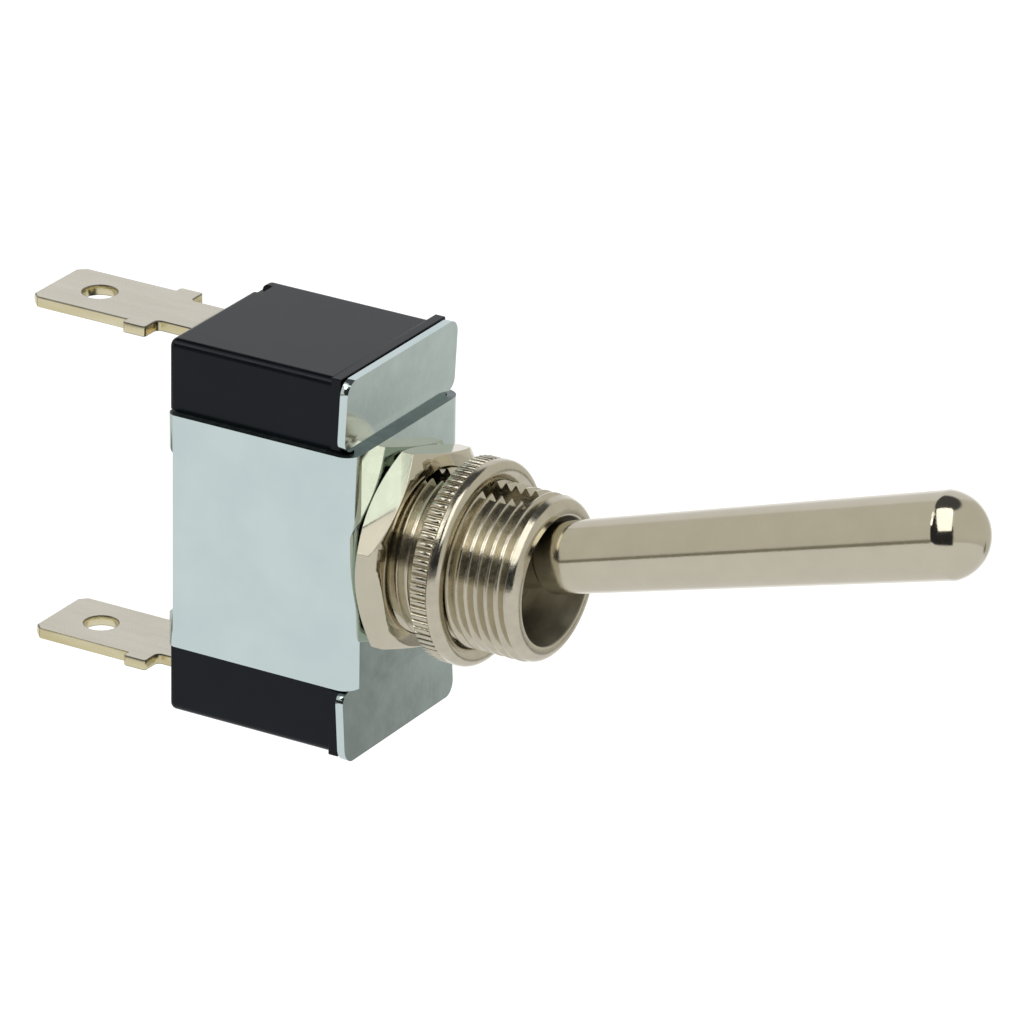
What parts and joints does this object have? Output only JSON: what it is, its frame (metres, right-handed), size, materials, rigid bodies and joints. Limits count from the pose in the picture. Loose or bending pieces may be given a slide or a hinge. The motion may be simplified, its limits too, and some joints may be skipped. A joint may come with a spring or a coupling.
{
  "type": "panel toggle switch",
  "caption": "Panel toggle switch: bat lever in a threaded stem with hexagon and knurled nuts, black case in a plated strap, flat blade terminals at its back.",
  "frame": {"origin": "on the stem's axis, in the front face of the bracket, where a panel seats", "axes": "+Z out of the panel along the stem, +Y towards the end of the case that the lever is thrown to at rest, +X across the case"},
  "size_m": [0.0154, 0.029, 0.0747],
  "materials": {
    "case_plastic": "black moulded plastic, semi-gloss",
    "gasket_plastic": "black insulating sheet",
    "zinc_plate": "bright zinc plate on steel",
    "nickel_plate": "bright nickel plate on brass",
    "terminal_plate": "tin plate on brass, bare at the sheared edges",
    "contact_silver": "silver alloy",
    "bare_brass": "bare brass strip",
    "plunger_plastic": "natural acetal",
    "spring_steel": "drawn spring wire"
  },
  "bodies": {
    "switch_body": {"housing": "case_plastic", "front_gasket": "gasket_plastic", "mounting_plate": "zinc_plate", "bracket": "zinc_plate", "stem_bushing": "nickel_plate", "fixed_contact": "contact_silver", "fulcrum": "bare_brass", "common_bus": "bare_brass", "upper_terminal": "terminal_plate", "lower_terminal": "terminal_plate", "upper_rivet": "bare_brass", "lower_rivet": "bare_brass"},
    "toggle": {"lever": "nickel_plate", "pivot_pin": "spring_steel", "plunger_spring": "spring_steel"},
    "tip_plunger": {"plunger": "plunger_plastic"},
    "rocker": {"rocker_contact": "bare_brass", "moving_contact": "contact_silver"},
    "back_nut": {"hex_nut": "nickel_plate"},
    "face_nut": {"knurled_nut": "nickel_plate"}
  },
  "joints": [
    {"name": "lever_throw", "type": "hinge", "parent": "switch_body", "child": "toggle", "pos_m": [0, 0, 0.0062], "axis": [1, 0, 0], "range_deg": [0, 33]},
    {"name": "plunger_press", "type": "slide", "parent": "toggle", "child": "tip_plunger", "axis": [0, 0.284, 0.9588], "range_m": [0, 0.0008], "stiffness_N_per_m": 2400, "springref_m": -0.001, "deforming": ["plunger_spring"]},
    {"name": "rocker_tilt", "type": "hinge", "parent": "switch_body", "child": "rocker", "pos_m": [0, 0, -0.01075], "axis": [1, 0, 0], "range_deg": [-16, 0]},
    {"name": "back_nut_travel", "type": "slide", "parent": "switch_body", "child": "back_nut", "axis": [0, 0, 1], "range_m": [0, 0.0022]},
    {"name": "face_nut_travel", "type": "slide", "parent": "switch_body", "child": "face_nut", "axis": [0, 0, 1], "range_m": [0, 0.0042]}
  ],
  "couplings": [
    {"joint": "rocker_tilt", "follows": "lever_throw", "ratio": -0.4848}
  ]
}
